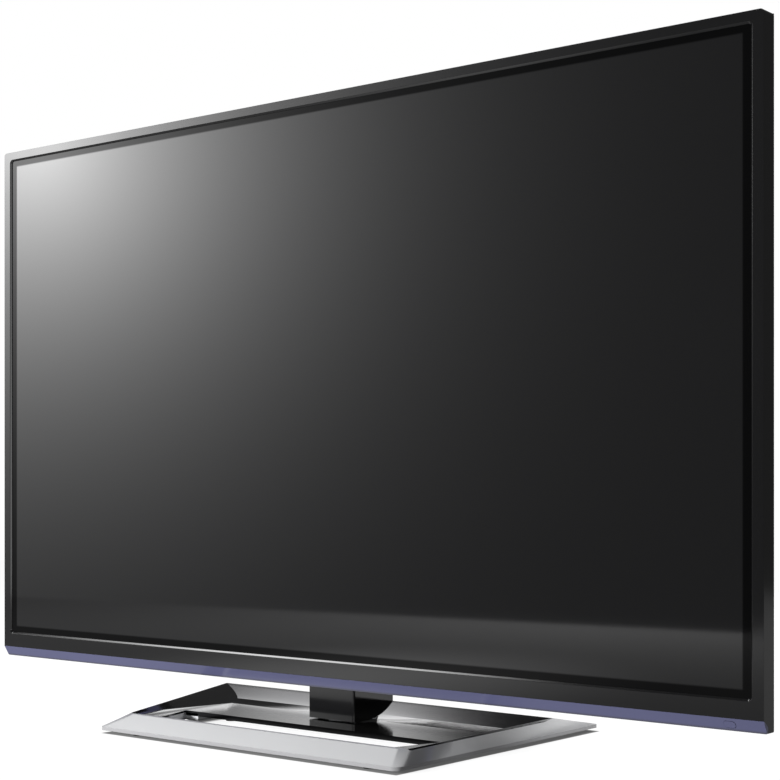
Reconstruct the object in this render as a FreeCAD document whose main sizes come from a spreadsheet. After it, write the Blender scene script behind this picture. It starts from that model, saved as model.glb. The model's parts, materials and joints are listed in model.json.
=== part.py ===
import FreeCAD, Part
import math
import os
import re

import Sketcher

# A 60-inch class flat screen TV on a swivelling table stand, in millimetres.
# The origin is on the table under the swivel axis. X runs to the right as seen
# from in front, Y to the back, Z up.

SIZES = {
    # How far a cutting shape runs past the face that it opens
    "over": 1,
    # Cabinet
    "cabinet_width": 1388.5,
    "cabinet_height": 826.2,
    "cabinet_depth": 52.6,
    "floor_to_cabinet": 70.5,
    "front_to_axis": 78,
    "skirt_depth": 25,
    "skirt_wall": 2.5,
    "bezel_face": 3,
    "bezel_side": 17,
    "bezel_top": 14.5,
    "bezel_bottom": 24,
    "bezel_bevel": 1.6,
    "cabinet_corner": 5,
    "foot_corner": 2,
    # Translucent strip under the bezel, whose face leans back towards its foot
    "strip_height": 15.5,
    "strip_lean": 8.6,
    "strip_foot": 2,
    "strip_heel": 7.9,
    "strip_top": 2,
    # Glass, panel and chassis, one behind the other
    "glass_overlap": 6,
    "glass_thick": 3,
    "gasket_thick": 3,
    "gasket_inset": 2,
    "panel_margin": 8.5,
    "panel_sheet": 2.8,
    "thermal_thick": 1,
    "chassis_thick": 2,
    "chassis_margin": 5,
    "clamp_width": 30,
    "clamp_depth": 6,
    "rail_width": 28,
    "rail_depth": 10,
    "rail_wall": 2,
    "rail_end": 20,
    # Wall mount pattern
    "wall_spacing": 400,
    "wall_rise": 409.5,
    "wall_boss": 7,
    "wall_thread": 3,
    "wall_thread_depth": 20,
    # Boards
    "standoff": 6,
    "standoff_radius": 3,
    "standoff_inset": 8,
    "board_thick": 1.6,
    "part_height": 14,
    "scan_side": 14.25,
    "scan_wide": 52,
    "scan_end": 20,
    "scan_split": 10,
    "ysus_gap": 12,
    "ysus_aside": 230,
    "ysus_foot": 140,
    "ysus_head": 120,
    "zsus_gap": 24,
    "zsus_side": 38.25,
    "zsus_foot": 170,
    "zsus_head": 140,
    "power_left_gap": 20,
    "power_right_gap": 30,
    "power_foot": 220,
    "power_head": 180,
    "control_aside": 25,
    "control_wide": 185,
    "control_foot": 190,
    "control_high": 180,
    "main_aside": 26,
    "main_beyond": 24,
    "main_below": 26,
    "main_above": 44,
    "buffer_aside": 22,
    "buffer_side": 73.25,
    "buffer_foot": 50,
    "buffer_high": 45,
    "sink_width": 90,
    "sink_length": 130,
    "sink_base": 4,
    "sink_fin": 1.6,
    "sink_pitch": 9,
    "sink_rise": 16,
    "flex_width": 44,
    "flex_thick": 0.5,
    "flex_drop": 2,
    # Speakers
    "speaker_aside": 28,
    "speaker_post_gap": 8,
    "speaker_rise": 33.5,
    "speaker_high": 48,
    "speaker_gap": 1.6,
    "cone_radius": 13,
    "cone_depth": 6,
    # Rear cover
    "cover_inset": 14,
    "cover_wall": 1.5,
    "cover_edge": 6,
    "vent_length": 26,
    "vent_width": 4,
    "vent_pitch": 12,
    "vent_gap": 6,
    "vent_side": 94.25,
    "low_vent_side": 118.25,
    "middle_vents": 144,
    "vent_clear": 96,
    "vent_top": 20,
    "vent_low": 10,
    "flange_inset": 1,
    "post_radius": 4,
    "post_top": 12,
    "post_low": 14,
    "post_side": 28.5,
    "post_thread": 12,
    "post_screw": 10,
    "screw_radius": 1.5,
    "screw_head": 3.5,
    "screw_head_high": 1.6,
    "screw_clearance": 0.2,
    # Power button and side keys
    "button_side": 45.95,
    "button_rise": 7.7,
    "button_long": 15.6,
    "button_high": 8,
    "button_proud": 0.4,
    "button_flange": 2,
    "button_shy": 0.5,
    "switch_gap": 0.1,
    "button_switch_rise": 2.5,
    "button_switch_half": 3,
    "sensor_board_left": 90,
    "sensor_board_right": 24,
    "sensor_place": 56,
    "sensor_half": 4,
    "key_travel": 0.8,
    "key_clearance": 0.35,
    "flange_thick": 1,
    "key_board_side": 9,
    "key_board_end": 16,
    "key_switch_rise": 4,
    "key_switch_half": 2.5,
    "key_high": 13,
    "key_deep": 6,
    "key_pitch": 24,
    "key_rise": 229.5,
    "key_setback": 13,
    "key_proud": 1.2,
    "key_flange": 2,
    # Connector bay and sockets
    "bay_aside": 36,
    "bay_wide": 160,
    "bay_rise": 185.5,
    "bay_high": 260,
    "bay_depth": 18,
    "bay_wall": 1.2,
    "bay_lip": 6,
    "socket_column": 32,
    "socket_proud": 0.6,
    "socket_wall": 1,
    "socket_depth": 8,
    "tongue_back": 1,
    "hdmi_lowest": 40,
    "hdmi_pitch": 36,
    "hdmi_wide": 17,
    "hdmi_high": 7,
    "hdmi_tongue_wide": 10,
    "hdmi_tongue_high": 1.2,
    "usb_lowest": 150,
    "usb_pitch": 30,
    "usb_wide": 15,
    "usb_high": 7.4,
    "usb_tongue_wide": 11,
    "usb_tongue_high": 2,
    "lan_rise": 216,
    "lan_wide": 16,
    "lan_high": 13,
    "lan_wall": 2,
    "lan_depth": 8.5,
    "antenna_column": 36,
    "antenna_rise": 36,
    "antenna_radius": 4.75,
    "antenna_collar": 6.5,
    "antenna_reach": 10,
    "antenna_bore": 1.2,
    "antenna_depth": 9,
    "collar_reach": 1.5,
    "jack_outer": 56,
    "jack_inner": 32,
    "jack_lowest": 76,
    "jack_pitch": 30,
    "jack_radius": 4.15,
    "jack_collar": 5.5,
    "jack_reach": 8,
    "jack_bore": 1.6,
    "jack_depth": 14,
    "inlet_place": -120,
    "inlet_rise": 179.5,
    "inlet_wide": 30,
    "inlet_high": 22,
    "inlet_wall": 2,
    "inlet_depth": 16,
    "inlet_back": 4,
    "inlet_pin_wide": 2,
    "inlet_pin_high": 4,
    "inlet_pin_side": 7,
    "inlet_pin_drop": 2,
    "inlet_pin_rise": 3,
    "inlet_pin_shy": 5,
    "inlet_bracket_side": 6,
    "inlet_bracket_end": 3,
    # Stand bracket in the cabinet
    "bracket_half": 75,
    "bracket_rise": 41.5,
    "bracket_high": 103,
    "bracket_wall": 3,
    "stand_screw_x": 45,
    "stand_screw_rise": 64.5,
    "stand_screw_pitch": 60,
    "stand_screw_radius": 3,
    "stand_head_radius": 6,
    "stand_head_high": 3.5,
    "stand_screw_grip": 4,
    # Neck
    "neck_half": 43,
    "neck_wall": 2.5,
    "neck_corner": 3,
    "neck_lift": 1.8,
    "neck_top_gap": 0.5,
    "upright_half": 60,
    "upright_lift": 1,
    "upright_thick": 6,
    "upright_rise": 144.5,
    "column_half": 26,
    "column_wall": 4,
    "column_rise": 69.5,
    "housing_half": 64,
    "housing_wall": 2.5,
    "housing_back": 43,
    "shoulder_rise": 79.5,
    "housing_rise": 151.5,
    "housing_ledge": 4,
    "housing_gap": 0.3,
    # Swivel
    "swivel_range": 20,
    "pin_radius": 8,
    "pin_running": 0.05,
    "disc_radius": 38,
    "disc_thick": 6,
    "ring_radius": 20,
    "ring_thick": 1.5,
    "stop_reach": 28,
    "stop_radius": 3,
    "stop_clearance": 0.3,
    "nut_radius": 14,
    "nut_thick": 6,
    "nut_gap": 0.3,
    "pin_end": 1,
    "stop_shy": 1,
    # Base
    "foot_lift": 4.5,
    "floor_half": 278,
    "floor_taper": 8,
    "floor_depth": 229,
    "rim_high": 9.2,
    "bar_lean": 20,
    "bar_slope": 38,
    "bar_high": 24.7,
    "bar_depth": 44,
    "ridge_lean": 32,
    "ridge_back": 55.5,
    "ridge_high": 41,
    "wing_wide": 35,
    "tray_high": 20.6,
    "tray_front": 95,
    "tray_thick": 3,
    "lip_high": 7,
    "lip_thick": 4,
    "window_front_side": 67,
    "window_back_side": 37.5,
    "skin": 4,
    "rim_skin": 3,
    "column_hole": 39.5,
    "plate_low": 3,
    "plate_thick": 3,
    "plate_front": 40,
    "plate_side": 28,
    "plate_inset": 17,
    "base_post_side": 43,
    "base_post_front": 25,
    "base_post_inset": 29,
    "base_post_radius": 7,
    "base_post_rise": 3.2,
    "base_screw_radius": 2,
    "base_screw_reach": 3,
    "base_screw_head": 4,
    "base_screw_head_high": 1.6,
    "foot_radius": 9,
    "foot_side": 63,
    "foot_inset": 14,
}

NODES = {}
FAR = 400

doc = FreeCAD.newDocument("flat_screen_tv")
sheet = doc.addObject("Spreadsheet::Sheet", "Sizes")
for row, (alias, value) in enumerate(SIZES.items(), start=1):
    sheet.set("A%d" % row, alias)
    sheet.set("B%d" % row, str(value))
    sheet.setAlias("B%d" % row, alias)
doc.recompute()


def size(alias):
    return float(getattr(sheet, alias))


def bound(text):
    """An expression with each named size looked up in the sheet."""
    def look_up(word):
        return "Sizes." + word.group(0) if word.group(0) in SIZES else word.group(0)
    return re.sub(r"[A-Za-z_]\w*", look_up, str(text))


def plus(*parts):
    return "+".join("(%s)" % part for part in parts)


def minus(first, second):
    return "(%s)-(%s)" % (first, second)


def node(label, obj):
    """Name a finished sub-part and keep it for the export."""
    obj.Label = label
    NODES[label] = obj
    return obj


# Shapes from named sizes

def box(low, high):
    obj = doc.addObject("Part::Box", "Block")
    for side, axis, a, b in zip(("Length", "Width", "Height"), "xyz", low, high):
        obj.setExpression(side, bound(minus(b, a)))
        obj.setExpression("Placement.Base." + axis, bound(a))
    return obj


def centred(place, wide, high, start, end):
    """A block along Y about a place given in X and Z."""
    x, z = place
    return box((minus(x, "(%s)/2" % wide), start, minus(z, "(%s)/2" % high)),
               (plus(x, "(%s)/2" % wide), end, plus(z, "(%s)/2" % high)))


def rod(axis, centre, start, end, radius, angle=None, turn=None):
    """A cylinder along one axis. centre gives the other two coordinates in X, Y, Z order."""
    obj = doc.addObject("Part::Cylinder", "Rod")
    obj.setExpression("Radius", bound(radius))
    obj.setExpression("Height", bound(minus(end, start)))
    turns = {"x": ((0, 1, 0), 90), "y": ((1, 0, 0), -90), "z": ((0, 0, 1), 0)}
    vector, degrees = turns[axis]
    obj.Placement = FreeCAD.Placement(FreeCAD.Vector(), FreeCAD.Rotation(FreeCAD.Vector(*vector), degrees))
    if angle is not None:
        obj.setExpression("Angle", bound(angle))
        obj.setExpression("Placement.Rotation.Angle", bound(turn))
    places = list(centre)
    places.insert("xyz".index(axis), start)
    for name, place in zip("xyz", places):
        obj.setExpression("Placement.Base." + name, bound(place))
    return obj


def group(shapes):
    obj = doc.addObject("Part::Compound", "Group")
    obj.Links = shapes
    return obj


def fuse(*shapes):
    obj = doc.addObject("Part::MultiFuse", "Joined")
    obj.Shapes = list(shapes)
    return obj


def cut(base, *tools):
    obj = doc.addObject("Part::Cut", "Cut")
    obj.Base = base
    obj.Tool = tools[0] if len(tools) == 1 else group(list(tools))
    return obj


def slot(centre_x, centre_z, long_size, high_size, start, end, grow="0"):
    """A lying oval, run along Y."""
    radius = plus(high_size + "/2", grow)
    reach = "(%s-%s)/2" % (long_size, high_size)
    left, right = minus(centre_x, reach), plus(centre_x, reach)
    middle = box((left, start, minus(centre_z, radius)), (right, end, plus(centre_z, radius)))
    return fuse(rod("y", (left, centre_z), start, end, radius),
                rod("y", (right, centre_z), start, end, radius), middle)


# Sketched bodies

PLANES = {"XY": ("XY_Plane", 1, False), "XZ": ("XZ_Plane", -1, True), "YZ": ("YZ_Plane", 1, False)}


def new_body(name):
    return doc.addObject("PartDesign::Body", name)


def outline(body, plane, at, points):
    """A closed sketch of straight lines, each corner tied to the origin by its own two sizes."""
    role, sign, _ = PLANES[plane]
    sketch = body.newObject("Sketcher::SketchObject", "Outline")
    sketch.AttachmentSupport = [(f, "") for f in body.Origin.OriginFeatures if f.Role == role]
    sketch.MapMode = "FlatFace"
    sketch.setExpression("AttachmentOffset.Base.z", "%d*(%s)" % (sign, bound(at)))
    count = len(points)
    ring = [FreeCAD.Vector(10 * math.cos(k), 10 * math.sin(k), 0) for k in
            [2 * math.pi * i / count for i in range(count)]]
    for i in range(count):
        sketch.addGeometry(Part.LineSegment(ring[i], ring[(i + 1) % count]))
    for i in range(count):
        sketch.addConstraint(Sketcher.Constraint("Coincident", i, 2, (i + 1) % count, 1))
    for i, (across, up) in enumerate(points):
        for kind, start, text in (("DistanceX", ring[i].x, across), ("DistanceY", ring[i].y, up)):
            index = sketch.addConstraint(Sketcher.Constraint(kind, -1, 1, i, 1, start))
            sketch.setExpression("Constraints[%d]" % index, bound(text))
    return sketch


def rectangle(left, low, right, high):
    return [(left, low), (right, low), (right, high), (left, high)]


def pad(body, plane, start, end, points):
    feature = body.newObject("PartDesign::Pad", "Pad")
    feature.Profile = outline(body, plane, start, points)
    feature.setExpression("Length", bound(minus(end, start)))
    feature.Reversed = PLANES[plane][2]
    return feature


def pocket(body, plane, start, end, points):
    feature = body.newObject("PartDesign::Pocket", "Pocket")
    feature.Profile = outline(body, plane, start, points)
    feature.setExpression("Length", bound(minus(end, start)))
    feature.Reversed = not PLANES[plane][2]
    return feature


def dress(body, kind, test, value):
    """Fillet or chamfer the edges of the body's last feature that pass a test."""
    doc.recompute()
    base = body.Tip
    names = ["Edge%d" % (i + 1) for i, edge in enumerate(base.Shape.Edges) if test(edge)]
    feature = body.newObject("PartDesign::" + kind, kind)
    feature.Base = (base, names)
    feature.setExpression("Radius" if kind == "Fillet" else "Size", bound(value))
    return feature


def along(edge, axis):
    first, last = edge.Vertexes[0].Point, edge.Vertexes[-1].Point
    return len(edge.Vertexes) == 2 and abs(abs((last - first).normalize().dot(axis)) - 1) < 1e-6


def middle(edge):
    return edge.CenterOfMass


Y_AXIS, Z_AXIS = FreeCAD.Vector(0, 1, 0), FreeCAD.Vector(0, 0, 1)

# Levels that many pieces share

HALF = "cabinet_width/2"
FRONT = "-front_to_axis"
BOTTOM = "floor_to_cabinet"
TOP = plus(BOTTOM, "cabinet_height")
BEZEL_LOW = plus(BOTTOM, "strip_height")
SKIRT = plus(FRONT, "skirt_depth")
STRIP_BACK = plus(FRONT, "strip_lean", "strip_foot")
BACK = plus(FRONT, "cabinet_depth")
OPEN_SIDE = "(%s-bezel_side)" % HALF
OPEN_LOW = plus(BEZEL_LOW, "bezel_bottom")
OPEN_HIGH = minus(TOP, "bezel_top")
GLASS = plus(FRONT, "bezel_face")
GASKET = plus(GLASS, "glass_thick")
PANEL = plus(GASKET, "gasket_thick")
PANEL_BACK = plus(PANEL, "2*panel_sheet")
CHASSIS = plus(PANEL_BACK, "thermal_thick")
CHASSIS_BACK = plus(CHASSIS, "chassis_thick")
BOARD = plus(CHASSIS_BACK, "standoff")
BOARD_BACK = plus(BOARD, "board_thick")
COVER_IN = minus(BACK, "cover_wall")
PANEL_SIDE = "(%s-skirt_wall-panel_margin)" % HALF
PANEL_LOW = plus(BEZEL_LOW, "skirt_wall", "2*panel_margin")
PANEL_HIGH = "(%s-skirt_wall-panel_margin)" % TOP
CHASSIS_SIDE = "(%s-chassis_margin)" % PANEL_SIDE
CHASSIS_LOW = plus(PANEL_LOW, "chassis_margin")
CHASSIS_HIGH = minus(PANEL_HIGH, "chassis_margin")
RAIL = "wall_spacing/2"
WALL_CENTRE = plus(BOTTOM, "wall_rise")
BUTTON = "(%s-button_side)" % HALF
KEY_LOWEST = plus(BOTTOM, "key_rise")
BAY_LEFT = plus(RAIL, "main_aside", "bay_aside")
BAY_RIGHT = plus(BAY_LEFT, "bay_wide")
BAY_LOW = plus(BOTTOM, "bay_rise")
BAY_HIGH = plus(BAY_LOW, "bay_high")
INLET = ("inlet_place", plus(BOTTOM, "inlet_rise"))
STAND_ROWS = (plus(BOTTOM, "stand_screw_rise"), plus(BOTTOM, "stand_screw_rise", "stand_screw_pitch"))


def neg(text):
    return "-(%s)" % text


def layer(side, low, high, start, end):
    """A sheet behind the glass, symmetrical about the middle."""
    return box((neg(side), start, low), (side, end, high))


# Front cabinet: a glossy frame with a thin skirt behind it, cut back at the foot for the strip

def before_strip(proud="0"):
    """In Y and Z, the room in front of the strip's leaning face."""
    outside = minus(FRONT, "over+%s" % proud)
    return [(minus(FRONT, proud), BEZEL_LOW), (plus(FRONT, "strip_lean-%s" % proud), BOTTOM),
            (plus(FRONT, "strip_lean-%s" % proud), minus(BOTTOM, "over")), (outside, minus(BOTTOM, "over")),
            (outside, BEZEL_LOW)]


def behind_strip():
    """In Y and Z, the line of the strip's back from its top to its heel."""
    return [(plus(FRONT, "strip_top"), BEZEL_LOW), (STRIP_BACK, plus(BOTTOM, "strip_heel"))]


def front_cabinet():
    body = new_body("CabinetBody")
    pad(body, "XZ", FRONT, SKIRT, rectangle(neg(HALF), BOTTOM, HALF, TOP))
    middle_z = size("floor_to_cabinet") + size("cabinet_height") / 2
    dress(body, "Fillet", lambda e: along(e, Y_AXIS) and middle(e).z < middle_z, "foot_corner")
    dress(body, "Fillet", lambda e: along(e, Y_AXIS) and middle(e).z > middle_z, "cabinet_corner")
    pocket(body, "XZ", GLASS, SKIRT, rectangle(
        "-(%s)+skirt_wall" % HALF, plus(BOTTOM, "skirt_wall"),
        "%s-skirt_wall" % HALF, minus(TOP, "skirt_wall")))
    pocket(body, "XZ", FRONT, GLASS, rectangle(neg(OPEN_SIDE), OPEN_LOW, OPEN_SIDE, OPEN_HIGH))
    top, heel = behind_strip()
    outside, under = minus(FRONT, "over"), minus(BOTTOM, "over")
    pocket(body, "YZ", neg(plus(HALF, "over")), plus(HALF, "over"), [
        (outside, BEZEL_LOW), top, heel, (STRIP_BACK, under), (outside, under)])
    front_y = -size("front_to_axis")
    inside = size("cabinet_width") / 2 - size("bezel_side") / 2
    low = size("floor_to_cabinet") + size("strip_height") + size("bezel_bottom") / 2
    high = size("floor_to_cabinet") + size("cabinet_height") - size("bezel_top") / 2
    dress(body, "Chamfer", lambda e: abs(middle(e).y - front_y) < 1e-6 and abs(middle(e).x) < inside
          and low < middle(e).z < high, "bezel_bevel")
    return node("front_cabinet", body)


def lower_trim_strip():
    """The violet translucent bar across the front below the bezel."""
    body = new_body("StripBody")
    pad(body, "XZ", FRONT, STRIP_BACK, rectangle(neg(HALF), BOTTOM, HALF, BEZEL_LOW))
    middle_z = size("floor_to_cabinet") + size("strip_height") / 2
    dress(body, "Fillet", lambda e: along(e, Y_AXIS) and middle(e).z < middle_z, "foot_corner")
    left, right = neg(plus(HALF, "over")), plus(HALF, "over")
    pocket(body, "YZ", left, right, before_strip())
    top, heel = behind_strip()
    pocket(body, "YZ", left, right, [
        top, heel, (plus(STRIP_BACK, "over"), heel[1]), (plus(STRIP_BACK, "over"), plus(BEZEL_LOW, "over")),
        (top[0], plus(BEZEL_LOW, "over"))])
    hole = slot(BUTTON, plus(BOTTOM, "button_rise"), "button_long", "button_high",
                minus(FRONT, "over"), plus(STRIP_BACK, "over"), "key_clearance")
    return node("lower_trim_strip", cut(body, hole))


# Glass, gasket, panel and chassis

def glass_stack():
    side, low, high = (plus(OPEN_SIDE, "glass_overlap"), minus(OPEN_LOW, "glass_overlap"),
                       plus(OPEN_HIGH, "glass_overlap"))
    node("filter_glass", layer(side, low, high, GLASS, GASKET))
    inner = box((neg(plus(OPEN_SIDE, "-gasket_inset")), minus(GASKET, "over"), plus(OPEN_LOW, "gasket_inset")),
                (minus(OPEN_SIDE, "gasket_inset"), plus(PANEL, "over"), minus(OPEN_HIGH, "gasket_inset")))
    node("glass_gasket", cut(layer(side, low, high, GASKET, PANEL), inner))
    node("panel_front_glass", layer(PANEL_SIDE, PANEL_LOW, PANEL_HIGH, PANEL, plus(PANEL, "panel_sheet")))
    node("panel_rear_glass", layer(PANEL_SIDE, PANEL_LOW, PANEL_HIGH, plus(PANEL, "panel_sheet"), PANEL_BACK))
    node("thermal_sheet", layer(CHASSIS_SIDE, CHASSIS_LOW, CHASSIS_HIGH, PANEL_BACK, CHASSIS))
    node("chassis_plate", layer(CHASSIS_SIDE, CHASSIS_LOW, CHASSIS_HIGH, CHASSIS, CHASSIS_BACK))


def panel_clamps():
    """Angle blocks that hold the chassis plate in the skirt, four along each long side."""
    clamps = []
    for part in (-0.94, -0.17, 0.17, 0.94):
        centre = "%s*%s" % (part, CHASSIS_SIDE)
        left, right = minus(centre, "clamp_width/2"), plus(centre, "clamp_width/2")
        clamps.append(box((left, CHASSIS_BACK, minus(CHASSIS_HIGH, "2*clamp_depth")),
                          (right, plus(CHASSIS_BACK, "clamp_depth"), minus(TOP, "skirt_wall"))))
        clamps.append(box((left, CHASSIS_BACK, plus(BOTTOM, "skirt_wall")),
                          (right, plus(CHASSIS_BACK, "clamp_depth"), plus(CHASSIS_LOW, "clamp_depth"))))
    node("panel_clamps", group(clamps))


def chassis_rails():
    """Two hat rails that take the wall mount load, and the four threaded bosses on them."""
    rails, bosses = [], []
    for side in ("-", ""):
        centre = side + "wall_spacing/2"
        low, high = plus(CHASSIS_LOW, "rail_end"), minus(CHASSIS_HIGH, "rail_end")
        outer = box((minus(centre, "rail_width/2"), CHASSIS_BACK, low),
                    (plus(centre, "rail_width/2"), plus(CHASSIS_BACK, "rail_depth"), high))
        inner = box((minus(centre, "rail_width/2-rail_wall"), minus(CHASSIS_BACK, "over"), minus(low, "over")),
                    (plus(centre, "rail_width/2-rail_wall"), plus(CHASSIS_BACK, "rail_depth-rail_wall"),
                     plus(high, "over")))
        rails.append(cut(outer, inner))
        for sign in ("-", ""):
            place = (centre, plus(WALL_CENTRE, sign + "wall_spacing/2"))
            boss = rod("y", place, plus(CHASSIS_BACK, "rail_depth"), BACK, "wall_boss")
            thread = rod("y", place, minus(BACK, "wall_thread_depth"), plus(BACK, "over"), "wall_thread")
            bosses.append(cut(boss, thread))
    node("chassis_rails", group(rails))
    node("wall_mount_bosses", group(bosses))


# Circuit boards on the chassis

SCAN_LEFT = plus(neg(CHASSIS_SIDE), "scan_side")
SCAN_RIGHT = plus(SCAN_LEFT, "scan_wide")
SCAN_SPLIT = "((%s)+(%s))/2" % (CHASSIS_LOW, CHASSIS_HIGH)
CONTROL_RIGHT = "-(%s)-control_aside" % RAIL
CONTROL_LOW = plus(CHASSIS_LOW, "control_foot")
BUFFER_INNER = plus(RAIL, "buffer_aside")
BUFFER_OUTER = minus(CHASSIS_SIDE, "buffer_side")
BUFFER_LOW = plus(CHASSIS_LOW, "buffer_foot")
BUFFER_HIGH = plus(BUFFER_LOW, "buffer_high")

# Each board's left, low, right and high edges
BOARDS = {
    "y_sustain_board": [(plus(SCAN_RIGHT, "ysus_gap"), plus(CHASSIS_LOW, "ysus_foot"),
                         "-(%s)-ysus_aside" % RAIL, minus(CHASSIS_HIGH, "ysus_head"))],
    "z_sustain_board": [(plus(BAY_RIGHT, "main_beyond", "zsus_gap"), plus(CHASSIS_LOW, "zsus_foot"),
                         minus(CHASSIS_SIDE, "zsus_side"), minus(CHASSIS_HIGH, "zsus_head"))],
    "power_supply_board": [("-(%s)+power_left_gap" % RAIL, plus(CHASSIS_LOW, "power_foot"),
                            minus(RAIL, "power_right_gap"), minus(CHASSIS_HIGH, "power_head"))],
    "control_board": [(minus(CONTROL_RIGHT, "control_wide"), CONTROL_LOW,
                       CONTROL_RIGHT, plus(CONTROL_LOW, "control_high"))],
    "main_board": [(plus(RAIL, "main_aside"), minus(BAY_LOW, "main_below"),
                    plus(BAY_RIGHT, "main_beyond"), plus(BAY_HIGH, "main_above"))],
    "scan_driver_boards": [
        (SCAN_LEFT, plus(CHASSIS_LOW, "scan_end"), SCAN_RIGHT, minus(SCAN_SPLIT, "scan_split/2")),
        (SCAN_LEFT, plus(SCAN_SPLIT, "scan_split/2"), SCAN_RIGHT, minus(CHASSIS_HIGH, "scan_end"))],
    "buffer_boards": [(neg(BUFFER_OUTER), BUFFER_LOW, neg(BUFFER_INNER), BUFFER_HIGH),
                      (BUFFER_INNER, BUFFER_LOW, BUFFER_OUTER, BUFFER_HIGH)],
}

# Blocks on each board: left, low, right, high as shares of the board, and height as a share
COMPONENTS = {
    "power_supply_board": [(0.06, 0.62, 0.30, 0.90, 1.4), (0.38, 0.66, 0.56, 0.90, 1.4),
                           (0.66, 0.70, 0.80, 0.92, 1.1), (0.08, 0.08, 0.26, 0.30, 1.2)],
    "y_sustain_board": [(0.10, 0.06, 0.50, 0.20, 1.0), (0.60, 0.06, 0.90, 0.16, 0.8),
                        (0.10, 0.82, 0.45, 0.95, 1.0)],
    "z_sustain_board": [(0.12, 0.06, 0.52, 0.20, 1.0), (0.15, 0.82, 0.50, 0.95, 1.0)],
    "control_board": [(0.30, 0.30, 0.62, 0.70, 0.25), (0.72, 0.15, 0.90, 0.40, 0.2)],
    "main_board": [(0.74, 0.92, 0.94, 0.97, 0.5), (0.04, 0.91, 0.20, 0.97, 0.4)],
    "scan_driver_boards": [(0.30, 0.05, 0.75, 0.16, 0.3), (0.30, 0.42, 0.75, 0.58, 0.3),
                           (0.30, 0.84, 0.75, 0.95, 0.3)],
    "buffer_boards": [(0.10, 0.30, 0.16, 0.80, 0.3), (0.46, 0.30, 0.54, 0.80, 0.3),
                      (0.84, 0.30, 0.90, 0.80, 0.3)],
}


def share(low, high, part):
    return "(%s)+%s*((%s)-(%s))" % (low, part, high, low)


def boards():
    standoffs = []
    for name, plates in BOARDS.items():
        solids = []
        for left, low, right, high in plates:
            pieces = [box((left, BOARD, low), (right, BOARD_BACK, high))]
            for x0, z0, x1, z1, rise in COMPONENTS[name]:
                pieces.append(box((share(left, right, x0), BOARD_BACK, share(low, high, z0)),
                                  (share(left, right, x1), plus(BOARD_BACK, "%s*part_height" % rise),
                                   share(low, high, z1))))
            solids.append(fuse(*pieces))
            for x in (plus(left, "standoff_inset"), minus(right, "standoff_inset")):
                for z in (plus(low, "standoff_inset"), minus(high, "standoff_inset")):
                    standoffs.append(rod("y", (x, z), CHASSIS_BACK, BOARD, "standoff_radius"))
        node(name, solids[0] if len(solids) == 1 else group(solids))
    node("board_standoffs", group(standoffs))


def heatsinks():
    """Finned sinks, one on the middle of each high power board."""
    sinks = []
    for name in ("y_sustain_board", "z_sustain_board", "power_supply_board"):
        left, low, right, high = BOARDS[name][0]
        x, z = share(left, right, 0.5), share(low, high, 0.42)
        x0, x1 = minus(x, "sink_width/2"), plus(x, "sink_width/2")
        z0, z1 = minus(z, "sink_length/2"), plus(z, "sink_length/2")
        pieces = [box((x0, BOARD_BACK, z0), (x1, plus(BOARD_BACK, "sink_base"), z1))]
        count = int(size("sink_width") // size("sink_pitch"))
        for i in range(count):
            start = plus(x0, "%d*sink_pitch" % i)
            pieces.append(box((start, BOARD_BACK, z0),
                              (plus(start, "sink_fin"), plus(BOARD_BACK, "sink_rise"), z1)))
        sinks.append(fuse(*pieces))
    node("heatsinks", group(sinks))


CABLES = 5


def flex_cables():
    """Flat cables from the panel's lower edge, round the chassis, to the buffer boards."""
    cables = []
    start_z = "(%s-flex_drop)" % CHASSIS_LOW
    behind = plus(CHASSIS_BACK, "flex_thick")
    for side in (-1, 1):
        for i in range(CABLES):
            centre = "%d*(%s)" % (side, share(BUFFER_INNER, BUFFER_OUTER, (i + 0.5) / CABLES))
            left, right = minus(centre, "flex_width/2"), plus(centre, "flex_width/2")
            low, back = minus(start_z, "flex_thick"), plus(behind, "flex_thick")
            cables.append(fuse(
                box((left, PANEL_BACK, low), (right, back, start_z)),
                box((left, behind, low), (right, back, BUFFER_LOW)),
                box((left, behind, minus(BUFFER_LOW, "flex_thick")), (right, BOARD_BACK, BUFFER_LOW))))
    node("flex_cables", group(cables))


# The cover's lower posts stand beside the flat cables, and the speakers lie between two of them
LOW_POSTS = (BUFFER_INNER, share(BUFFER_INNER, BUFFER_OUTER, 3 / CABLES), minus(CHASSIS_SIDE, "post_side"))


def speaker(label, side):
    """A flat speaker box with its two cones facing down."""
    inner, outer = plus(LOW_POSTS[0], "speaker_aside"), minus(LOW_POSTS[1], "speaker_post_gap")
    x0, x1 = (neg(outer), neg(inner)) if side < 0 else (inner, outer)
    front = plus(CHASSIS_BACK, "speaker_gap")
    low = plus(BOTTOM, "speaker_rise")
    shell = box((x0, front, low), (x1, COVER_IN, plus(low, "speaker_high")))
    depth = "(%s)/2+(%s)/2" % (front, COVER_IN)
    cones = [rod("z", (share(x0, x1, part), depth), minus(low, "over"), plus(low, "cone_depth"),
                 "cone_radius") for part in (0.3, 0.7)]
    node(label, cut(shell, *cones))


# Rear cover, its posts and screws

# The cover's upper posts are spread over the chassis plate
TOP_POSTS = ["%s*%s" % (part, CHASSIS_SIDE) for part in (0.236, 0.634, 0.885)]
KEYS = ("key_enter", "key_menu", "key_input", "key_volume_down", "key_volume_up",
        "key_channel_down", "key_channel_up")


def post_places():
    places = []
    for side in ("-", ""):
        for parts, height in ((TOP_POSTS, minus(CHASSIS_HIGH, "post_top")),
                              (LOW_POSTS, plus(CHASSIS_LOW, "post_low"))):
            places += [("%s(%s)" % (side, part), height) for part in parts]
    return places


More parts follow.
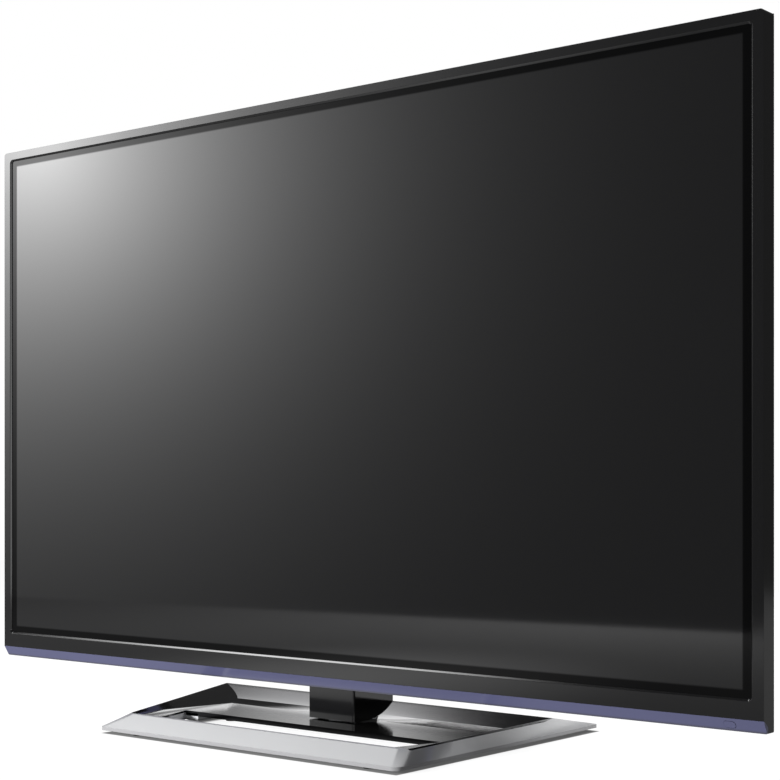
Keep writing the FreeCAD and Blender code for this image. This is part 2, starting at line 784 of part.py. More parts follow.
def vent_row(low, reach, clear=0.0):
    """A row of upright slots through the back wall, to each side of the middle as far as reach."""
    slots = []
    slack = 1e-6
    last = int(reach / size("vent_pitch") + slack)
    for i in range(-last, last + 1):
        if abs(i) * size("vent_pitch") < clear - slack:
            continue
        x = "%d*vent_pitch" % i
        slots.append(box((minus(x, "vent_width/2"), minus(COVER_IN, "over"), low),
                         (plus(x, "vent_width/2"), plus(BACK, "over"), plus(low, "vent_length"))))
    return slots


def pan_block(inset, front, back):
    """A shallow block with its back edges chamfered, inset from the cabinet's outline."""
    side = "(%s-%s)" % (HALF, inset)
    body = new_body("PanBody")
    pad(body, "XZ", front, back, rectangle(neg(side), plus(BOTTOM, inset), side, minus(TOP, inset)))
    doc.recompute()
    back_y = body.Shape.BoundBox.YMax
    dress(body, "Chamfer", lambda e: abs(middle(e).y - back_y) < 1e-6, "cover_edge")
    return body


def rear_cover():
    side = "(%s-cover_inset)" % HALF
    low, high = plus(BOTTOM, "cover_inset"), minus(TOP, "cover_inset")
    flange = box(("-(%s)+flange_inset" % HALF, SKIRT, plus(BOTTOM, "flange_inset")),
                 ("%s-flange_inset" % HALF, plus(SKIRT, "cover_wall"), minus(TOP, "flange_inset")))
    shell = cut(fuse(pan_block("cover_inset", SKIRT, BACK), flange),
                pan_block("(cover_inset+cover_wall)", minus(SKIRT, "over"), COVER_IN))
    half = size("cabinet_width") / 2
    tools = vent_row("(%s-vent_top-vent_length)" % high, half - size("vent_side"))
    tools += vent_row("(%s-vent_top-vent_gap-2*vent_length)" % high, half - size("vent_side"))
    tools += vent_row(plus(WALL_CENTRE, "0.55*wall_spacing"), size("middle_vents"))
    tools += vent_row("(%s+vent_low)" % low, half - size("low_vent_side"), size("vent_clear"))
    for sign_x in ("-", ""):
        for sign_z in ("-", ""):
            tools.append(rod("y", (sign_x + "wall_spacing/2", plus(WALL_CENTRE, sign_z + "wall_spacing/2")),
                             minus(COVER_IN, "over"), plus(BACK, "over"), plus("wall_boss", "screw_clearance")))
        for z in STAND_ROWS:
            tools.append(rod("y", (sign_x + "stand_screw_x", z), minus(COVER_IN, "over"), plus(BACK, "over"),
                             plus("stand_screw_radius", "screw_clearance")))
    for place in post_places():
        tools.append(rod("y", place, minus(COVER_IN, "over"), plus(BACK, "over"),
                         plus("screw_radius", "screw_clearance")))
    tools.append(box((BAY_LEFT, minus(COVER_IN, "over"), BAY_LOW), (BAY_RIGHT, plus(BACK, "over"), BAY_HIGH)))
    tools.append(centred(INLET, "inlet_wide", "inlet_high", minus(COVER_IN, "over"), plus(BACK, "over")))
    for i in range(len(KEYS)):
        y0, y1, z0, z1 = key_box(i, "key_clearance")
        tools.append(box((minus(side, "cover_wall+over"), y0, z0), (plus(side, "over"), y1, z1)))
    node("rear_cover", cut(shell, *tools))

    posts, screws = [], []
    for place in post_places():
        posts.append(cut(rod("y", place, CHASSIS_BACK, COVER_IN, "post_radius"),
                         rod("y", place, minus(COVER_IN, "post_thread"), plus(COVER_IN, "over"),
                             "screw_radius")))
        screws.append(fuse(rod("y", place, minus(COVER_IN, "post_screw"), BACK, "screw_radius"),
                           rod("y", place, BACK, plus(BACK, "screw_head_high"), "screw_head")))
    node("cover_posts", group(posts))
    node("rear_cover_screws", group(screws))


# Power button in the strip, and the keys in the cover's side

def key_box(i, grow="0"):
    """The outline of one side key in Y and Z."""
    y = minus(BACK, "key_setback")
    z = plus(KEY_LOWEST, "%d*key_pitch" % i)
    return (minus(y, plus("key_deep/2", grow)), plus(y, plus("key_deep/2", grow)),
            minus(z, plus("key_high/2", grow)), plus(z, plus("key_high/2", grow)))


def power_button():
    z = plus(BOTTOM, "button_rise")
    cap_back = plus(STRIP_BACK, "key_clearance")
    lean = new_body("LeanBody")
    pad(lean, "YZ", minus(BUTTON, "button_long"), plus(BUTTON, "button_long"), before_strip("button_proud"))
    cap = cut(slot(BUTTON, z, "button_long", "button_high", FRONT, cap_back), lean)
    flange = centred((BUTTON, z), "button_long+2*button_flange", "button_high-2*button_shy",
                     cap_back, plus(cap_back, "flange_thick"))
    node("power_button", fuse(cap, flange))
    switch_front = plus(cap_back, "flange_thick", "key_travel", "switch_gap")
    board_front = plus(switch_front, "button_switch_rise")
    plate = box((minus(BUTTON, "sensor_board_left"), board_front, plus(BOTTOM, "skirt_wall")),
                (plus(BUTTON, "sensor_board_right"), plus(board_front, "board_thick"), BEZEL_LOW))
    switch = centred((BUTTON, z), "2*button_switch_half", "2*button_switch_half", switch_front, board_front)
    eye = centred((minus(BUTTON, "sensor_place"), z), "2*sensor_half", "2*sensor_half",
                  STRIP_BACK, board_front)
    node("ir_sensor_board", fuse(plate, switch, eye))


def side_keys():
    wall_in = "(%s-cover_inset-cover_wall)" % HALF
    wall_out = "(%s-cover_inset)" % HALF
    flange_out = minus(wall_in, "key_clearance")
    flange_in = minus(flange_out, "flange_thick")
    for i, name in enumerate(KEYS):
        y0, y1, z0, z1 = key_box(i)
        cap = box((flange_out, y0, z0), (plus(wall_out, "key_proud"), y1, z1))
        flange = box((flange_in, minus(y0, "key_flange"), minus(z0, "key_flange")),
                     (flange_out, plus(y1, "key_flange"), plus(z1, "key_flange")))
        node(name, fuse(cap, flange))
    switch_out = "(%s-key_travel-switch_gap)" % flange_in
    board_out = minus(switch_out, "key_switch_rise")
    y = minus(BACK, "key_setback")
    last = "%d*key_pitch" % (len(KEYS) - 1)
    pieces = [box((minus(board_out, "board_thick"), minus(y, "key_board_side"),
                   minus(KEY_LOWEST, "key_board_end")),
                  (board_out, COVER_IN, plus(KEY_LOWEST, last, "key_board_end")))]
    for i in range(len(KEYS)):
        z = plus(KEY_LOWEST, "%d*key_pitch" % i)
        pieces.append(box((board_out, minus(y, "key_switch_half"), minus(z, "key_switch_half")),
                          (switch_out, plus(y, "key_switch_half"), plus(z, "key_switch_half"))))
    node("key_board", fuse(*pieces))


# Connector bay

BAY_FLOOR = minus(BACK, "bay_depth")


def socket(place, kind, wall="socket_wall", depth="socket_depth", tongue=True):
    """An open-mouthed metal shell that stands on the main board and looks out of the bay floor."""
    mouth = plus(BAY_FLOOR, "socket_proud")
    floor = minus(mouth, depth)
    wide, high = kind + "_wide", kind + "_high"
    shell = cut(centred(place, wide, high, BOARD_BACK, mouth),
                centred(place, "%s-2*%s" % (wide, wall), "%s-2*%s" % (high, wall), floor, plus(mouth, "over")))
    if not tongue:
        return shell
    return fuse(shell, centred(place, kind + "_tongue_wide", kind + "_tongue_high", floor,
                               minus(mouth, "tongue_back")))


def jack(place, radius, collar, reach, bore, depth):
    """A round barrel on a collar, with a blind hole down its middle."""
    tip = plus(BAY_FLOOR, reach)
    return cut(fuse(rod("y", place, BOARD_BACK, plus(BAY_FLOOR, "collar_reach"), collar),
                    rod("y", place, BOARD_BACK, tip, radius)),
               rod("y", place, minus(tip, depth), plus(tip, "over"), bore))


def connectors():
    column = plus(BAY_LEFT, "socket_column")
    hdmi = [(column, plus(BAY_LOW, "hdmi_lowest+%d*hdmi_pitch" % i)) for i in range(3)]
    usb = [(column, plus(BAY_LOW, "usb_lowest+%d*usb_pitch" % i)) for i in range(2)]
    lan = (column, plus(BAY_LOW, "lan_rise"))
    antenna = (minus(BAY_RIGHT, "antenna_column"), plus(BAY_LOW, "antenna_rise"))
    jacks = [(minus(BAY_RIGHT, out), plus(BAY_LOW, "jack_lowest+%d*jack_pitch" % i))
             for i in range(5) for out in ("jack_outer", "jack_inner")]

    node("hdmi_sockets", group([socket(place, "hdmi") for place in hdmi]))
    node("usb_sockets", group([socket(place, "usb") for place in usb]))
    node("lan_socket", socket(lan, "lan", "lan_wall", "lan_depth", tongue=False))
    node("antenna_socket", jack(antenna, "antenna_radius", "antenna_collar", "antenna_reach", "antenna_bore",
                                "antenna_depth"))
    node("av_jacks", group([jack(place, "jack_radius", "jack_collar", "jack_reach", "jack_bore", "jack_depth")
                            for place in jacks]))

    low, high = minus(BAY_FLOOR, "bay_wall"), minus(COVER_IN, "bay_wall")
    tray = box((minus(BAY_LEFT, "bay_wall"), low, minus(BAY_LOW, "bay_wall")),
               (plus(BAY_RIGHT, "bay_wall"), COVER_IN, plus(BAY_HIGH, "bay_wall")))
    rim = box((minus(BAY_LEFT, "bay_lip"), high, minus(BAY_LOW, "bay_lip")),
              (plus(BAY_RIGHT, "bay_lip"), COVER_IN, plus(BAY_HIGH, "bay_lip")))
    room = box((BAY_LEFT, BAY_FLOOR, BAY_LOW), (BAY_RIGHT, plus(BACK, "over"), BAY_HIGH))
    start, end = minus(low, "over"), plus(BAY_FLOOR, "over")
    holes = [centred(place, "hdmi_wide", "hdmi_high", start, end) for place in hdmi]
    holes += [centred(place, "usb_wide", "usb_high", start, end) for place in usb]
    holes.append(centred(lan, "lan_wide", "lan_high", start, end))
    holes.append(rod("y", antenna, start, end, "antenna_collar"))
    holes += [rod("y", place, start, end, "jack_collar") for place in jacks]
    node("connector_panel", cut(fuse(tray, rim), room, *holes))


def ac_inlet():
    """A three pin mains inlet in the rear cover, on a small bracket from the chassis."""
    floor = minus(BACK, "inlet_depth")
    seat = minus(floor, "inlet_back")
    shell = centred(INLET, "inlet_wide", "inlet_high", seat, BACK)
    room = centred(INLET, "inlet_wide-2*inlet_wall", "inlet_high-2*inlet_wall", floor, plus(BACK, "over"))
    pins = [centred((plus(INLET[0], across), plus(INLET[1], up)), "inlet_pin_wide", "inlet_pin_high",
                    floor, minus(BACK, "inlet_pin_shy"))
            for across, up in (("-inlet_pin_side", "-inlet_pin_drop"), ("inlet_pin_side", "-inlet_pin_drop"),
                               ("0", "inlet_pin_rise"))]
    bracket = centred(INLET, "inlet_wide+2*inlet_bracket_side", "inlet_high+2*inlet_bracket_end",
                      CHASSIS_BACK, seat)
    node("ac_inlet", fuse(cut(shell, room), bracket, *pins))


# Stand: bracket in the cabinet, neck and swivel

def bracket_and_screws():
    low = plus(BOTTOM, "bracket_rise")
    high = plus(low, "bracket_high")
    outer = box(("-bracket_half", CHASSIS_BACK, low), ("bracket_half", COVER_IN, high))
    inner = box(("-bracket_half+bracket_wall", plus(CHASSIS_BACK, "bracket_wall"), minus(low, "over")),
                ("bracket_half-bracket_wall", minus(COVER_IN, "bracket_wall"), plus(high, "over")))
    threads, screws = [], []
    for sign in ("-", ""):
        for z in STAND_ROWS:
            place = (sign + "stand_screw_x", z)
            threads.append(rod("y", place, minus(COVER_IN, "bracket_wall+over"), plus(COVER_IN, "over"),
                               "stand_screw_radius"))
            face = plus(BACK, "upright_thick")
            screws.append(fuse(
                rod("y", place, minus(COVER_IN, "bracket_wall+stand_screw_grip"), face, "stand_screw_radius"),
                rod("y", place, face, plus(face, "stand_head_high"), "stand_head_radius")))
    node("stand_bracket", cut(outer, inner, *threads))
    node("stand_screws", group(screws))


PLATE_LOW = "plate_low"
PLATE_TOP = plus(PLATE_LOW, "plate_thick")
RING_TOP = plus(PLATE_TOP, "ring_thick")
DISC_TOP = plus(RING_TOP, "disc_thick")


def neck_core():
    """The steel column and the upright plate that carries the cabinet."""
    upright = box(("-upright_half", BACK, plus(BOTTOM, "upright_lift")),
                  ("upright_half", plus(BACK, "upright_thick"), plus(BOTTOM, "upright_rise")))
    top = plus(BOTTOM, "column_rise")
    tube = box(("-column_half", plus(BACK, "upright_thick"), DISC_TOP),
               ("column_half", "column_half", top))
    room = box(("-column_half+column_wall", plus(BACK, "upright_thick", "column_wall"), minus(DISC_TOP, "over")),
               ("column_half-column_wall", "column_half-column_wall", plus(top, "over")))
    holes = [rod("y", (sign + "stand_screw_x", z), minus(BACK, "over"), plus(BACK, "upright_thick+over"),
                 plus("stand_screw_radius", "screw_clearance"))
             for sign in ("-", "") for z in STAND_ROWS]
    node("neck_core", cut(fuse(upright, tube), room, *holes))


def swivel():
    axis = ("0", "0")
    disc = rod("z", axis, RING_TOP, DISC_TOP, "disc_radius")
    bore = rod("z", axis, minus(RING_TOP, "over"), plus(DISC_TOP, "over"), plus("pin_radius", "pin_running"))
    grow = "stop_radius+stop_clearance"
    spread = "swivel_range*1deg+asin((%s)/stop_reach)" % grow
    outer = rod("z", axis, minus(RING_TOP, "over"), plus(DISC_TOP, "over"), plus("stop_reach", grow),
                "2*(%s)" % spread, "90deg-(%s)" % spread)
    inner = rod("z", axis, minus(RING_TOP, "2*over"), plus(DISC_TOP, "2*over"), "stop_reach-(%s)" % grow)
    node("swivel_disc", cut(disc, bore, cut(outer, inner)))
    node("bearing_ring", cut(rod("z", axis, PLATE_TOP, RING_TOP, "ring_radius"),
                             rod("z", axis, minus(PLATE_TOP, "over"), plus(RING_TOP, "over"), "pin_radius")))
    nut_low = plus(DISC_TOP, "nut_gap")
    nut_high = plus(nut_low, "nut_thick")
    node("pivot_pin", rod("z", axis, PLATE_LOW, plus(nut_high, "pin_end"), "pin_radius"))
    node("retaining_nut", cut(rod("z", axis, nut_low, nut_high, "nut_radius"),
                              rod("z", axis, minus(nut_low, "over"), plus(nut_high, "over"), "pin_radius")))
    node("stop_pin", rod("z", ("0", "stop_reach"), PLATE_TOP, minus(DISC_TOP, "stop_shy"), "stop_radius"))


def tray_curve(lift, ahead):
    """Three points on the arc of the tray's top line: its level start, middle and end at the ridge."""
    rise = size("ridge_high") - size("tray_high")
    run = size("ridge_back")
    radius = (run * run + rise * rise) / (2 * rise)
    full = math.asin(run / radius)
    return [FreeCAD.Vector(0, radius * math.sin(angle) - ahead,
                           size("tray_high") + lift + radius * (1 - math.cos(angle)))
            for angle in (0.0, full / 2, full)]


def prism(points, arc, tail):
    """Straight lines through points, then an arc, then straight lines back, all run along X."""
    arc = [FreeCAD.Vector(-FAR, point.y, point.z) for point in arc]
    corners = [FreeCAD.Vector(-FAR, y, z) for y, z in points] + [arc[0]]
    edges = [Part.LineSegment(a, b).toShape() for a, b in zip(corners, corners[1:])]
    edges.append(Part.Arc(*arc).toShape())
    closing = [arc[2]] + [FreeCAD.Vector(-FAR, y, z) for y, z in tail] + [corners[0]]
    edges += [Part.LineSegment(a, b).toShape() for a, b in zip(closing, closing[1:])]
    return Part.Face(Part.Wire(edges)).extrude(FreeCAD.Vector(2 * FAR, 0, 0))


def room_above_tray(drop):
    """The open room over the tray's curve, and all of the window, back from the front bar."""
    arc = tray_curve(-drop, 0)
    front, lip = size("bar_depth") - size("floor_depth"), -size("tray_front")
    return prism([(front, FAR), (front, -FAR), (lip, -FAR), (lip, arc[0].z)], arc, [(arc[2].y, FAR)])


def room_below_tray(lift, ahead):
    """Everything below a raised copy of the tray's curve, moved forward."""
    arc = tray_curve(lift, ahead)
    return prism([(-FAR, -FAR), (-FAR, arc[0].z)], arc, [(FAR, arc[2].z), (FAR, -FAR)])


def feature(shape, name="Formed"):
    obj = doc.addObject("Part::Feature", name)
    obj.Shape = shape
    obj.Placement = FreeCAD.Placement()
    return obj


def neck_covers():
    """The square glossy sleeve under the cabinet and the housing behind it."""
    half, wall = "neck_half", "neck_wall"
    top = minus(BOTTOM, "neck_top_gap")
    body = new_body("SleeveBody")
    pad(body, "XY", "tray_high", top, rectangle(neg(half), neg(half), half, half))
    dress(body, "Fillet", lambda e: along(e, Z_AXIS), "neck_corner")
    inner = "neck_half-neck_wall"
    pocket(body, "XY", "tray_high", top, rectangle(neg(inner), neg(inner), inner, inner))
    swing = size("neck_half") * math.sin(math.radians(size("swivel_range")))
    node("neck_sleeve", cut(body, feature(room_below_tray(size("neck_lift"), swing))))

    front = plus(BACK, "housing_gap")
    shoulder, crown = plus(BOTTOM, "shoulder_rise"), plus(BOTTOM, "housing_rise")
    outer = new_body("HousingBody")
    pad(outer, "YZ", "-housing_half", "housing_half", [
        (front, top), ("housing_back", top), ("housing_back", shoulder), ("-housing_ledge", crown),
        (front, crown)])
    pocket(outer, "YZ", "-housing_half+housing_wall", "housing_half-housing_wall", [
        (minus(front, "over"), minus(top, "over")), ("housing_back-housing_wall", minus(top, "over")),
        ("housing_back-housing_wall", minus(shoulder, "housing_wall/2")),
        ("-housing_ledge-housing_wall/2", minus(crown, "housing_wall")),
        (minus(front, "over"), minus(crown, "housing_wall"))])
    node("neck_housing", outer)


# Base: silver frame, black tray, steel plate and feet

def twisted_block(low, rim, floor_half, front, back, top_half, top_back, top_high, ridge_half, ridge_back,
                  ridge_high):
    """A low block, narrower behind, whose flanks twist outwards from the front bar to the ridge."""
    back_half = floor_half - size("floor_taper")

    def corners(side):
        v = FreeCAD.Vector
        return {"a": v(side * floor_half, front, low), "b": v(side * back_half, back, low),
                "c": v(side * floor_half, front, rim), "d": v(side * back_half, back, rim),
                "e": v(side * top_half, top_back, top_high), "g": v(side * ridge_half, ridge_back, ridge_high)}
    left, right = corners(-1), corners(1)
    faces = []

    def flat(*points):
        faces.append(Part.Face(Part.makePolygon(list(points) + [points[0]])))

    for first, second in (("a", "b"), ("a", "c"), ("c", "e"), ("e", "g"), ("g", "d"), ("d", "b")):
        flat(left[first], right[first], right[second], left[second])
    for side in (left, right):
        flat(side["a"], side["b"], side["d"], side["c"])
        flank = Part.BSplineSurface()
        flank.buildFromPolesMultsKnots([[side["c"], side["d"]], [side["e"], side["g"]]],
                                       [2, 2], [2, 2], [0, 1], [0, 1], False, False, 1, 1)
        faces.append(flank.toShape())
    shell = Part.makeShell(faces)
    shell.sewShape()
    solid = Part.makeSolid(shell)
    if solid.Volume < 0:
        solid.reverse()
    return solid


def bevel_prism(drop):
    """The room between the tray's two rising flanks, run along Y."""
    tray_half = size("floor_half") - size("wing_wide")
    slope = (size("ridge_high") - size("tray_high")) / (size("ridge_lean") + size("wing_wide"))
    level = size("tray_high") - drop
    floor = -size("tray_high")
    low_half = tray_half + (floor - level) / slope
    far_high = level + slope * (FAR - tray_half)
    points = [(-low_half, floor), (low_half, floor), (FAR, far_high), (FAR, FAR), (-FAR, FAR), (-FAR, far_high)]
    corners = [FreeCAD.Vector(x, -FAR, z) for x, z in points + points[:1]]
    return Part.Face(Part.makePolygon(corners)).extrude(FreeCAD.Vector(0, 2 * FAR, 0))


SCREW_PLACES = [(sign + "(floor_half-base_post_side)", y)
                for y in ("-base_post_front", "floor_depth-base_post_inset") for sign in ("-", "")]


def base_shapes():
    """The frame casting and the tray sheet, cut from one outer block."""
    half, skin = size("floor_half"), size("skin")
    front, back = -size("floor_depth"), size("floor_depth")
    bar_half, bar_top, bar_high = half - size("bar_lean"), front + size("bar_slope"), size("bar_high")
    ridge_half, ridge_back, ridge_high = half + size("ridge_lean"), size("ridge_back"), size("ridge_high")
    outer = twisted_block(size("foot_lift"), size("rim_high"), half, front, back, bar_half, bar_top,
                          bar_high, ridge_half, ridge_back, ridge_high)
    inner = twisted_block(size("foot_lift") - skin, size("rim_high") - size("rim_skin"), half - skin, front,
                          back - skin, bar_half - skin, bar_top, bar_high - skin, ridge_half - skin,
                          ridge_back, ridge_high - skin)
    bar, lip = front + size("bar_depth"), -size("tray_front")
    corner = FreeCAD.Vector
    inner = inner.common(Part.makeBox(2 * FAR, 2 * FAR, 2 * FAR, corner(-FAR, bar, -FAR)))
    above = room_above_tray(0).common(bevel_prism(0))
    under = room_above_tray(size("tray_thick")).common(bevel_prism(size("tray_thick")))
    frame = outer.cut(inner).cut(under)
    near, far = half - size("window_front_side"), half - size("window_back_side")
    window = Part.makePolygon([corner(-near, bar, -FAR), corner(near, bar, -FAR), corner(far, lip, -FAR),
                               corner(-far, lip, -FAR), corner(-near, bar, -FAR)])
    window = Part.Face(window).extrude(corner(0, 0, 2 * FAR))
    tray = under.cut(above).common(outer).cut(window)
    lip_half = far + size("lip_thick")
    lip_bar = Part.makeBox(2 * lip_half, size("lip_thick"), size("lip_high"),
                           corner(-lip_half, lip, size("tray_high") - size("lip_high")))
    return frame, tray.fuse(lip_bar).removeSplitter()


def base():
    frame, tray = base_shapes()
    front_posts = [rod("z", place, PLATE_TOP, "tray_high-tray_thick/2", "base_post_radius")
                   for place in SCREW_PLACES[:2]]
    back_posts = [rod("z", place, PLATE_TOP, "rim_high+base_post_rise", "base_post_radius")
                  for place in SCREW_PLACES[2:]]
    holes = [rod("z", place, PLATE_LOW, plus(PLATE_TOP, "base_screw_reach"), "base_screw_radius")
             for place in SCREW_PLACES]
    node("base_frame", cut(fuse(feature(frame), *back_posts), *holes[2:]))
    middle_hole = rod("z", ("0", "0"), "0", "2*ridge_high", "column_hole")
    node("base_tray", cut(fuse(feature(tray), *front_posts), middle_hole, *holes[:2]))

    plate_half, plate_back = "(floor_half-plate_side)", "(floor_depth-plate_inset)"
    plate = box((neg(plate_half), "-plate_front", PLATE_LOW), (plate_half, plate_back, PLATE_TOP))
    plate_holes = [rod("z", place, minus(PLATE_LOW, "over"), plus(PLATE_TOP, "over"),
                       plus("base_screw_radius", "screw_clearance")) for place in SCREW_PLACES]
    plate_holes.append(rod("z", ("0", "0"), minus(PLATE_LOW, "over"), plus(PLATE_TOP, "over"), "pin_radius"))
    node("base_plate", cut(plate, *plate_holes))
    node("base_screws", group([fuse(
        rod("z", place, PLATE_LOW, plus(PLATE_TOP, "base_screw_reach"), "base_screw_radius"),
        rod("z", place, minus(PLATE_LOW, "base_screw_head_high"), PLATE_LOW, "base_screw_head"))
        for place in SCREW_PLACES]))
    foot_x = "(floor_half-foot_side)"
    feet = [rod("z", (sign + foot_x, y), "0", PLATE_LOW, "foot_radius")
            for sign in ("-", "") for y in ("-plate_front+foot_inset", minus(plate_back, "foot_inset"))]
    feet += [rod("z", (sign + foot_x, "-(floor_depth-bar_depth/2)"), "0", "foot_lift", "foot_radius")
             for sign in ("-", "")]
    node("rubber_feet", group(feet))


def build():
    front_cabinet()
    lower_trim_strip()
    glass_stack()
    panel_clamps()
    chassis_rails()
    boards()
    heatsinks()
    flex_cables()
    speaker("speaker_left", -1)
    speaker("speaker_right", 1)
    rear_cover()
    power_button()
    side_keys()
    connectors()
    ac_inlet()
    bracket_and_screws()
    neck_core()
    swivel()
    neck_covers()
    base()


def check_and_export():
    doc.recompute()
    for obj in doc.Objects:
        if "Invalid" in obj.State or "Error" in obj.State:
            used = [item.Label for item in obj.OutList]
            raise RuntimeError("%s, made from %s, did not build: %s" % (obj.Label, used, obj.State))
    os.makedirs("parts", exist_ok=True)
    for label, obj in NODES.items():
        shape = obj.Shape
        if shape.isNull() or not shape.isValid() or shape.Volume <= 0:
            raise RuntimeError("%s has no valid solid" % label)
        shape.exportStep("parts/%s.step" % label)
        box_size = shape.BoundBox
        print("%-22s %2d solids %12.1f mm3  X %7.1f %7.1f  Y %7.1f %7.1f  Z %7.1f %7.1f" % (
            label, len(shape.Solids), shape.Volume, box_size.XMin, box_size.XMax, box_size.YMin,
            box_size.YMax, box_size.ZMin, box_size.ZMax))


build()
check_and_export()
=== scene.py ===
import json
import math

import bpy
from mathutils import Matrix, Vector


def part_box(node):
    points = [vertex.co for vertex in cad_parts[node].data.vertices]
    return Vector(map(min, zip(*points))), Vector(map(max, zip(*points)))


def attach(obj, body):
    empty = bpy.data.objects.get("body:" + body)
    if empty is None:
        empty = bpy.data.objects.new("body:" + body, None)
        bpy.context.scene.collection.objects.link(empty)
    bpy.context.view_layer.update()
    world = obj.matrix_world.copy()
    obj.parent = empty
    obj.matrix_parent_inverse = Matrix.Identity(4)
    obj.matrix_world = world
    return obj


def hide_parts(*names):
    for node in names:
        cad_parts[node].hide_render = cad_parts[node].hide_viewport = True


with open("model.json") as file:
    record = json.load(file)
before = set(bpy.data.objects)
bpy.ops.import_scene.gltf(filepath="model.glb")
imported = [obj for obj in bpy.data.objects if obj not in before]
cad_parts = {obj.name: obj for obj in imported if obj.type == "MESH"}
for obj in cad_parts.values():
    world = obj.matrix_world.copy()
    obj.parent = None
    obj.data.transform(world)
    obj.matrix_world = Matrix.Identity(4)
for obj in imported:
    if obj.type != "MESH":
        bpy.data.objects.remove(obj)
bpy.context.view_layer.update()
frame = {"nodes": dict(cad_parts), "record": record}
nodes = frame["nodes"]

# Camera. It stands to the right of the set at table height and looks level, with
# the frame shifted so that the set fills the picture from edge to edge.
camera = bpy.data.objects.new("camera", bpy.data.cameras.new("camera"))
bpy.context.scene.collection.objects.link(camera)
camera.location = (1.5869, -1.7878, 0.3635)
camera.rotation_euler = (math.radians(90), 0, math.radians(38.213))
camera.data.sensor_width = 36
camera.data.lens = 77.09
camera.data.shift_x = -0.0769
camera.data.shift_y = 0.112
camera.data.clip_start = 0.05
bpy.context.scene.camera = camera

# Room. A white studio, seen as plain white. What gloss and metal show of it is darker: a
# glow in front on the left, a fill at the right, and two long soft boxes over the set, one
# for the edges of the cabinet and one for the tray.
bpy.context.scene.view_settings.view_transform = "Standard"


def feed(tree, socket, source):
    """Links a socket to another one, or sets it to a plain value."""
    if isinstance(source, bpy.types.NodeSocket):
        tree.links.new(source, socket)
    else:
        socket.default_value = source


def maths(tree, step, first, *others):
    """Runs one maths step on a value, or along a row of values."""
    for other in others or (0.0,):
        node = tree.nodes.new("ShaderNodeMath")
        node.operation = step
        feed(tree, node.inputs[0], first)
        feed(tree, node.inputs[1], other)
        first = node.outputs[0]
    return first


def edge_of(tree, source, start, full):
    """A mask that rises smoothly from nothing to full between two values."""
    node = tree.nodes.new("ShaderNodeMapRange")
    node.interpolation_type = "SMOOTHSTEP"
    node.inputs["From Min"].default_value = start
    node.inputs["From Max"].default_value = full
    tree.links.new(source, node.inputs["Value"])
    return node.outputs["Result"]


def blend(tree, factor, first, second, kind="FLOAT"):
    """Goes from a first value or colour to a second one by a factor."""
    node = tree.nodes.new("ShaderNodeMix")
    node.data_type = kind
    for name, source in (("Factor", factor), ("A", first), ("B", second)):
        feed(tree, node.inputs[name], source)
    return node.outputs["Result"]


def axes_of(tree, kind="Object"):
    """The three parts of the place on a piece, or of the direction looked in."""
    parts = tree.nodes.new("ShaderNodeSeparateXYZ")
    tree.links.new(tree.nodes.new("ShaderNodeTexCoord").outputs[kind], parts.inputs[0])
    return parts.outputs


def shown_white(tree, hidden, white):
    """A level that the camera sees as white, also through glass, and the rest of the room as given."""
    path = tree.nodes.new("ShaderNodeLightPath")
    seen = maths(tree, "MAXIMUM", path.outputs["Is Camera Ray"], path.outputs["Is Transmission Ray"])
    return blend(tree, seen, hidden, white)


def soft_light_group():
    """The brightness of a round soft light in the direction looked in, fading from its middle."""
    tree = bpy.data.node_groups.new("soft_light", "ShaderNodeTree")
    tree.interface.new_socket("Middle", in_out="INPUT", socket_type="NodeSocketVector")
    for name in ("Strength", "Width", "Power"):
        tree.interface.new_socket(name, in_out="INPUT", socket_type="NodeSocketFloat")
    tree.interface.new_socket("Level", in_out="OUTPUT", socket_type="NodeSocketFloat")
    given, result = tree.nodes.new("NodeGroupInput").outputs, tree.nodes.new("NodeGroupOutput")
    ahead = tree.nodes.new("ShaderNodeVectorMath")
    ahead.operation = "NORMALIZE"
    facing = tree.nodes.new("ShaderNodeVectorMath")
    facing.operation = "DOT_PRODUCT"
    tree.links.new(given["Middle"], ahead.inputs[0])
    tree.links.new(ahead.outputs[0], facing.inputs[0])
    tree.links.new(tree.nodes.new("ShaderNodeTexCoord").outputs["Generated"], facing.inputs[1])
    away = maths(tree, "ARCCOSINE", maths(tree, "MINIMUM", facing.outputs["Value"], 1.0))
    fall = maths(tree, "POWER", maths(tree, "DIVIDE", away, given["Width"]), given["Power"])
    faded = maths(tree, "EXPONENT", maths(tree, "MULTIPLY", fall, -1.0))
    tree.links.new(maths(tree, "MULTIPLY", faded, given["Strength"]), result.inputs["Level"])
    return tree


# Each round light: the direction of its middle, its strength, its width and how its edge falls.
round_lights = (((-0.774, -0.602, 0.195), 9.6, 0.083, 1.10), ((0.75, -0.65, 0.02), 3.0, 0.26, 2.5))
# Each long box: its strength, then for each side the axis, where it starts and where it is full.
long_boxes = (
    (8.0, (("X", -0.80, -0.70), ("X", -0.56, -0.66), ("Y", -0.45, -0.20), ("Y", 0.0, -0.08),
           ("Z", 0.06, 0.30))),
    (2.5, (("X", -0.745, -0.665), ("X", -0.595, -0.65), ("Y", -0.04, 0.08), ("Z", 0.0, 0.45))),
)
room_in_gloss, room_on_matt = 0.08, 0.10
world = bpy.data.worlds.new("studio")
bpy.context.scene.world = world
world.use_nodes = True
tree = world.node_tree
tree.nodes.clear()
soft_light = soft_light_group()
levels = []
for values in round_lights:
    light = tree.nodes.new("ShaderNodeGroup")
    light.node_tree = soft_light
    for socket, value in zip(light.inputs, values):
        socket.default_value = value
    levels.append(light.outputs["Level"])
direction = axes_of(tree, "Generated")
for strength, sides in long_boxes:
    sides = [edge_of(tree, direction[axis], start, full) for axis, start, full in sides]
    levels.append(maths(tree, "MULTIPLY", strength, *sides))
mirrored = maths(tree, "ADD", *levels, room_in_gloss)
